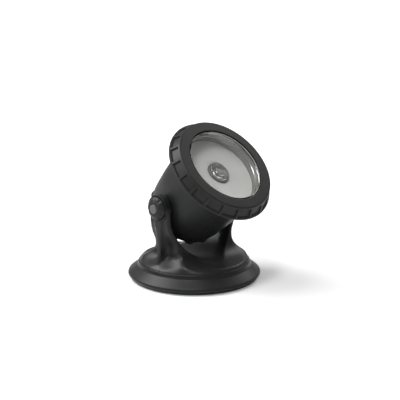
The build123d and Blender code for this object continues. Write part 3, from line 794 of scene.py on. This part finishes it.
def buildOptic(sizes):
    # a clear collimator: smooth shoulder, dished middle filled with small lens beads
    def shape(radii, heights, turns):
        r = radii[0]
        if heights[0] > sizes["edge"] - 0.05 and r < sizes["dishRadius"]:
            x, y = r * np.cos(turns), r * np.sin(turns)
            cell = sizes["cell"]
            q = np.stack([x / cell - y / cell / math.sqrt(3), 2 * y / cell / math.sqrt(3)])
            q = q - np.round(q)
            away = np.hypot((q[0] + q[1] / 2) * cell, q[1] * cell * math.sqrt(3) / 2)
            fade = 1 - smoothStep(sizes["dishRadius"] - 0.5, sizes["dishRadius"], r)
            swell = np.cos(np.clip(away / cell * 1.6, 0, 1) * math.pi / 2)
            heights = heights + sizes["bead"] * fade * swell
        return radii, heights

    top = []
    for k in range(sizes["rows"]):
        r = sizes["radius"] * k / (sizes["rows"] - 1) * 0.985
        crown = math.sqrt(max(0.0, 1 - (r / sizes["radius"]) ** 2))
        rise = sizes["edge"] + (sizes["top"] - sizes["edge"]) * crown
        dish = sizes["dish"] * (1 - smoothStep(sizes["dishRadius"] - 1.0, sizes["dishRadius"] + 0.3, r))
        top.append((r, rise - float(dish)))
    rest = softened([
        (sizes["radius"], sizes["edge"], 0), (sizes["radius"], sizes["rim"], 0.1),
        (sizes["coneTop"], sizes["coneLow"], 0.2), (sizes["well"] + 0.4, sizes["coneLow"], 0.1),
        (sizes["well"], sizes["wellTop"], 0.2), (0, sizes["wellTop"], 0),
    ], closed=False)
    return turnedMesh("optic", top + rest, inHead, 128, shape, closed=False)


addPiece("optic_lens", buildOptic(opticSizes), "head", ["led_optic"])


# rubber feet: one ridged pad, set out four times by a node tree and once in the middle

footSizes = {
    "radius": 4.5, "thickness": 1.1, "ridge": 0.18, "grooveOuter": 3.2, "grooveInner": 2.0,
    "dimple": 1.2, "slant": 0.3, "count": 4, "circle": 31.0,
}


def roundTree(name):
    # sets copies of an object out on a circle, then makes them real
    tree = bpy.data.node_groups.new(name, "GeometryNodeTree")
    inputs = {
        "Part": "NodeSocketObject", "Count": "NodeSocketInt", "Circle": "NodeSocketFloat",
        "Start": "NodeSocketFloat", "Finish": "NodeSocketMaterial",
    }
    for label, kind in inputs.items():
        tree.interface.new_socket(name=label, in_out="INPUT", socket_type=kind)
    tree.interface.new_socket(name="Geometry", in_out="OUTPUT", socket_type="NodeSocketGeometry")
    given, out = tree.nodes.new("NodeGroupInput"), tree.nodes.new("NodeGroupOutput")
    ring = tree.nodes.new("GeometryNodeMeshCircle")
    part = tree.nodes.new("GeometryNodeObjectInfo")
    spin = tree.nodes.new("GeometryNodeTransform")
    spinAngle = tree.nodes.new("ShaderNodeCombineXYZ")
    copies = tree.nodes.new("GeometryNodeInstanceOnPoints")
    real = tree.nodes.new("GeometryNodeRealizeInstances")
    finish = tree.nodes.new("GeometryNodeSetMaterial")
    link = tree.links.new
    link(given.outputs["Count"], ring.inputs["Vertices"])
    link(given.outputs["Circle"], ring.inputs["Radius"])
    link(given.outputs["Start"], spinAngle.inputs["Z"])
    link(ring.outputs["Mesh"], spin.inputs["Geometry"])
    link(spinAngle.outputs[0], spin.inputs["Rotation"])
    link(given.outputs["Part"], part.inputs["Object"])
    link(spin.outputs["Geometry"], copies.inputs["Points"])
    link(part.outputs["Geometry"], copies.inputs["Instance"])
    link(copies.outputs["Instances"], real.inputs["Geometry"])
    link(real.outputs["Geometry"], finish.inputs["Geometry"])
    link(given.outputs["Finish"], finish.inputs["Material"])
    link(finish.outputs["Geometry"], out.inputs["Geometry"])
    return tree


setRound = roundTree("setRound")


def laidRound(name, partMesh, count, circle, start, finish):
    part = looseObject(name + "Part", partMesh)
    carrier = looseObject(name, bpy.data.meshes.new(name))
    layout = carrier.modifiers.new("layout", "NODES")
    layout.node_group = setRound
    values = {"Part": part, "Count": count, "Circle": circle * mm, "Start": start, "Finish": finish}
    for item in setRound.interface.items_tree:
        if item.in_out == "INPUT":
            layout[item.identifier] = values[item.name]
    made = evaluatedMesh(carrier, name)
    bpy.data.objects.remove(part)
    return made


def buildFeet(sizes):
    line = softened([
        (0, sizes["thickness"], 0), (sizes["radius"], sizes["thickness"], 0.1), (sizes["radius"], 0.2, 0.2),
        (sizes["radius"] - 0.6, 0, 0.2), (sizes["grooveOuter"], 0, 0.1),
        (sizes["grooveOuter"] - sizes["slant"], sizes["ridge"], 0.1),
        (sizes["grooveInner"] + sizes["slant"], sizes["ridge"], 0.1), (sizes["grooveInner"], 0, 0.1),
        (sizes["dimple"], 0, 0.1), (sizes["dimple"] - sizes["slant"], sizes["ridge"], 0.1),
        (0, sizes["ridge"], 0),
    ], closed=False, support=0.08)
    pad = turnedMesh("pad", line, upright, 64, closed=False)
    outer = laidRound("outerFeet", pad, sizes["count"], sizes["circle"], 0.0, finishes["rubber"])
    return joinedMesh("feet", [outer, pad])


addPiece("rubber_feet_pads", buildFeet(footSizes), "base", ["rubber_feet"])


# cover screws: cross-head countersunk, set out by the same tree

screwSizes = {
    "head": 2.4, "low": 0.8, "shank": 1.25, "tip": 8.0, "tipRadius": 0.35, "count": 4, "circle": 31.0,
    "slot": 0.55, "slotLong": 2.8, "slotDeep": 0.75,
}


def buildScrews(sizes):
    low = sizes["low"]
    line = softened([
        (0, low + 0.02, 0), (sizes["head"], low, 0.12), (sizes["head"], low + 0.15, 0.05),
        (sizes["shank"], low + 1.25, 0.15), (sizes["shank"], sizes["tip"] - 0.8, 0.1),
        (sizes["tipRadius"], sizes["tip"], 0.1), (0, sizes["tip"], 0),
    ], closed=False, support=0.08)
    screw = looseObject("screw", turnedMesh("screw", line, upright, 48, closed=False))
    verts, faces = [], []
    corners = ((-1, -1), (1, -1), (1, 1), (-1, 1))
    for wide, long in ((sizes["slot"], sizes["slotLong"]), (sizes["slotLong"], sizes["slot"])):
        start = len(verts)
        for z in (low - 0.5, low + sizes["slotDeep"]):
            narrow = 1.0 if z < low else 0.8
            verts += [(sx * wide / 2 * narrow, sy * long / 2 * narrow, z) for sx, sy in corners]
        faces += [tuple(start + k for k in face) for face in
                  ((3, 2, 1, 0), (4, 5, 6, 7), (0, 1, 5, 4), (1, 2, 6, 5), (2, 3, 7, 6), (3, 0, 4, 7))]
    cutter = looseObject("cross", plainMesh("cross", verts, faces, upright))
    cut = screw.modifiers.new("cross", "BOOLEAN")
    cut.operation = "DIFFERENCE"
    cut.solver = "EXACT"
    cut.use_self = True
    cut.object = cutter
    made = evaluatedMesh(screw, "screw")
    bpy.data.objects.remove(cutter)
    made.set_sharp_from_angle(angle=math.radians(35))
    return laidRound("screws", made, sizes["count"], sizes["circle"], math.radians(45), finishes["stainless"])


addPiece("cover_screw_set", buildScrews(screwSizes), "base", ["cover_screws"])


# camera, light and floor

viewSizes = {
    "azimuth": -44.59, "elevation": 13.76, "distance": 0.595, "lens": 84.56,
    "aimOffset": (0.00262, -0.00258, -0.00005),
}


def lookFrom(azimuth, elevation):
    # a direction in degrees: azimuth from -Y towards +X, elevation from the floor
    a, e = math.radians(azimuth), math.radians(elevation)
    return Vector((math.sin(a) * math.cos(e), -math.cos(a) * math.cos(e), math.sin(e)))


def buildCamera(sizes):
    aim = pivot + Vector(sizes["aimOffset"])
    back = lookFrom(sizes["azimuth"], sizes["elevation"])
    data = bpy.data.cameras.new("camera")
    data.lens = sizes["lens"]
    data.sensor_width = 36.0
    data.clip_start = 0.01
    data.clip_end = 100.0
    camera = looseObject("camera", data)
    camera.location = aim + back * sizes["distance"]
    camera.rotation_euler = (-back).to_track_quat("-Z", "Y").to_euler()
    bpy.context.scene.camera = camera


buildCamera(viewSizes)

lightSizes = {
    "sky": 0.30,
    "sun": {"azimuth": -138.0, "elevation": 52.0, "spread": 40.0, "strength": 1.5},
    "lamps": [
        # name, azimuth, elevation, distance, size, power
        ("key", -150.0, 42.0, 0.9, 0.45, 2.6),
        ("left", -100.0, 25.0, 0.9, 0.35, 0.9),
        ("high", -62.0, 66.0, 0.9, 0.22, 2.2),
        ("right", 98.0, 36.0, 0.9, 0.35, 1.3),
    ],
}


def buildLights(sizes):
    world = bpy.data.worlds.new("studio")
    bpy.context.scene.world = world
    world.use_nodes = True
    tree = world.node_tree
    sky = tree.nodes["Background"]
    sky.inputs["Color"].default_value = (1.0, 1.0, 1.0, 1.0)
    sky.inputs["Strength"].default_value = sizes["sky"]
    # seen directly the backdrop is plain white
    plain = tree.nodes.new("ShaderNodeBackground")
    plain.inputs["Color"].default_value = (1.0, 1.0, 1.0, 1.0)
    rays = tree.nodes.new("ShaderNodeLightPath")
    blend = tree.nodes.new("ShaderNodeMixShader")
    tree.links.new(rays.outputs["Is Camera Ray"], blend.inputs[0])
    tree.links.new(sky.outputs[0], blend.inputs[1])
    tree.links.new(plain.outputs[0], blend.inputs[2])
    tree.links.new(blend.outputs[0], tree.nodes["World Output"].inputs["Surface"])
    for name, azimuth, elevation, distance, size, power in sizes["lamps"]:
        away = lookFrom(azimuth, elevation)
        data = bpy.data.lights.new(name, "AREA")
        data.shape = "DISK"
        data.size = size
        data.energy = power
        lamp = looseObject(name, data)
        lamp.location = pivot + away * distance
        lamp.rotation_euler = (-away).to_track_quat("-Z", "Y").to_euler()
        lamp.visible_camera = False
    sun = sizes["sun"]
    data = bpy.data.lights.new("sun", "SUN")
    data.angle = math.radians(sun["spread"])
    data.energy = sun["strength"]
    lamp = looseObject("sun", data)
    lamp.rotation_euler = (-lookFrom(sun["azimuth"], sun["elevation"])).to_track_quat("-Z", "Y").to_euler()


# near the lamp the floor's glow is lower, which paints shade onto the floor round the base
floorSizes = {
    "reach": 30.0, "grey": 0.9, "nearGlow": 0.2, "farGlow": 0.7, "near": 0.12, "far": 0.6,
}


def buildFloor(sizes):
    reach = sizes["reach"]
    corners = [(-reach, -reach, 0), (reach, -reach, 0), (reach, reach, 0), (-reach, reach, 0)]
    mesh = plainMesh("floor", corners, [(0, 1, 2, 3)], Matrix.Identity(4))
    material, tree, shader = newMaterial("paleFloor")
    shader.inputs["Base Color"].default_value = (*(sizes["grey"],) * 3, 1.0)
    shader.inputs["Roughness"].default_value = 0.9
    shader.inputs["Specular IOR Level"].default_value = 0.0
    shader.inputs["Emission Color"].default_value = (1.0, 1.0, 1.0, 1.0)
    # the glow lifts the floor to white for the eye only, so it doesn't light the lamp; it is weaker near the lamp,
    # which paints a darker shade onto the floor round the base and deepens its shadow there
    rays = tree.nodes.new("ShaderNodeLightPath")
    away = tree.nodes.new("ShaderNodeVectorMath")
    away.operation = "LENGTH"
    tree.links.new(tree.nodes.new("ShaderNodeTexCoord").outputs["Object"], away.inputs[0])
    glow = tree.nodes.new("ShaderNodeMapRange")
    tree.links.new(away.outputs["Value"], glow.inputs["Value"])
    span = {"From Min": "near", "From Max": "far", "To Min": "nearGlow", "To Max": "farGlow"}
    for label, key in span.items():
        glow.inputs[label].default_value = sizes[key]
    seen = mathNode(tree, "MULTIPLY", rays.outputs["Is Camera Ray"], glow.outputs["Result"])
    tree.links.new(seen, shader.inputs["Emission Strength"])
    mesh.materials.append(material)
    floor = looseObject("floor", mesh)


buildLights(lightSizes)
buildFloor(floorSizes)
bpy.context.scene.view_settings.view_transform = "Standard"
print("stage set")
